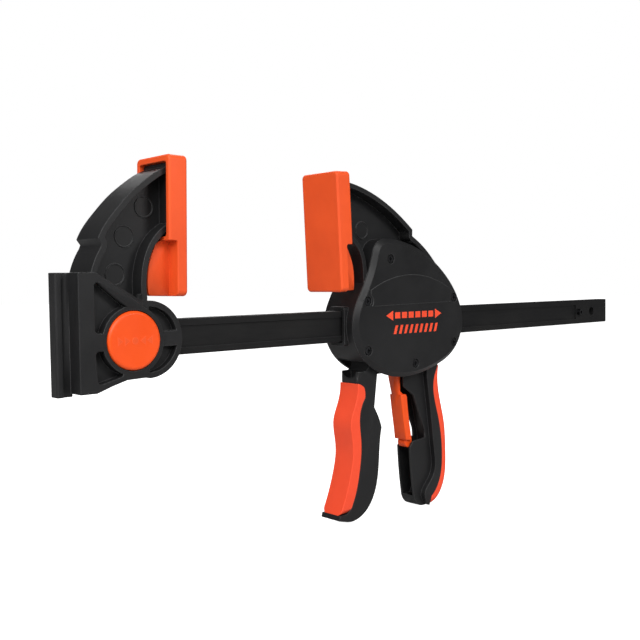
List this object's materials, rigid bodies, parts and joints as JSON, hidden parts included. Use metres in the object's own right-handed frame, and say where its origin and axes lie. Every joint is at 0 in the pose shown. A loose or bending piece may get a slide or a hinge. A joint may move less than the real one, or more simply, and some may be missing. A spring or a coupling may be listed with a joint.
{
  "type": "quick release bar clamp",
  "caption": "One-handed bar clamp: black steel bar, fixed jaw with push-button lock, moving jaw with squeeze lever, release trigger and orange pads and grips.",
  "frame": {"origin": "on the bar's centreline, in the plane where the fixed pad's clamping face starts at its bottom edge", "axes": "+X along the bar from the fixed jaw to the free end, +Z from the bar to the jaw pads, -Y towards the cover and the push button"},
  "size_m": [0.5189, 0.0332, 0.2272],
  "materials": {
    "black_nylon": "glass-filled nylon, moulded, fine matte grain",
    "orange_pad": "soft moulded pad, satin",
    "orange_grip": "overmoulded soft grip, matte",
    "orange_plastic": "moulded plastic, satin",
    "black_bar": "black oxide over rolled steel, semi-gloss",
    "dark_steel": "black zinc screws and pin",
    "zinc_steel": "hardened steel, zinc plated",
    "spring_steel": "drawn spring wire"
  },
  "bodies": {
    "frame_bar": {"bar": "black_bar", "stop_pin": "dark_steel", "fixed_jaw": "black_nylon", "fixed_pad": "orange_pad"},
    "lock_button": {"push_button": "orange_plastic", "lock_plunger": "zinc_steel", "retaining_clip": "spring_steel", "button_spring": "spring_steel"},
    "moving_jaw": {"jaw_housing": "black_nylon", "front_cover": "black_nylon", "cover_screws": "dark_steel", "moving_pad": "orange_pad", "rear_grip": "orange_grip", "lever_pin": "zinc_steel", "brake_pin": "zinc_steel", "drive_spring": "spring_steel", "brake_spring": "spring_steel"},
    "lever": {"squeeze_lever": "black_nylon", "lever_grip": "orange_grip"},
    "drive_plates": {"drive_plate_1": "zinc_steel", "drive_plate_2": "zinc_steel"},
    "trigger": {"release_trigger": "orange_plastic", "brake_plate": "zinc_steel"}
  },
  "joints": [
    {"name": "jaw_slide", "type": "slide", "parent": "frame_bar", "child": "moving_jaw", "axis": [1, 0, 0], "range_m": [-0.1088, 0.1625]},
    {"name": "lever_squeeze", "type": "hinge", "parent": "moving_jaw", "child": "lever", "pos_m": [0.1471, 0, 0.024], "axis": [0, -1, 0], "range_deg": [0, 13], "stiffness_Nm_per_rad": 1.5, "springref_deg": -17.19, "deforming": ["drive_spring"]},
    {"name": "drive_stroke", "type": "slide", "parent": "moving_jaw", "child": "drive_plates", "axis": [1, 0, 0], "range_m": [0, 0.0092], "deforming": ["drive_spring"]},
    {"name": "trigger_pull", "type": "hinge", "parent": "moving_jaw", "child": "trigger", "pos_m": [0.1827, 0, 0.0195], "axis": [0, -1, 0], "range_deg": [0, 3], "stiffness_Nm_per_rad": 2, "springref_deg": -5.73, "deforming": ["brake_spring"]},
    {"name": "button_press", "type": "slide", "parent": "frame_bar", "child": "lock_button", "axis": [0, 1, 0], "range_m": [0, 0.0035], "stiffness_N_per_m": 900, "springref_m": -0.003, "deforming": ["button_spring"]}
  ],
  "couplings": [
    {"joint": "drive_stroke", "follows": "lever_squeeze", "m_per_rad": 0.040107}
  ]
}
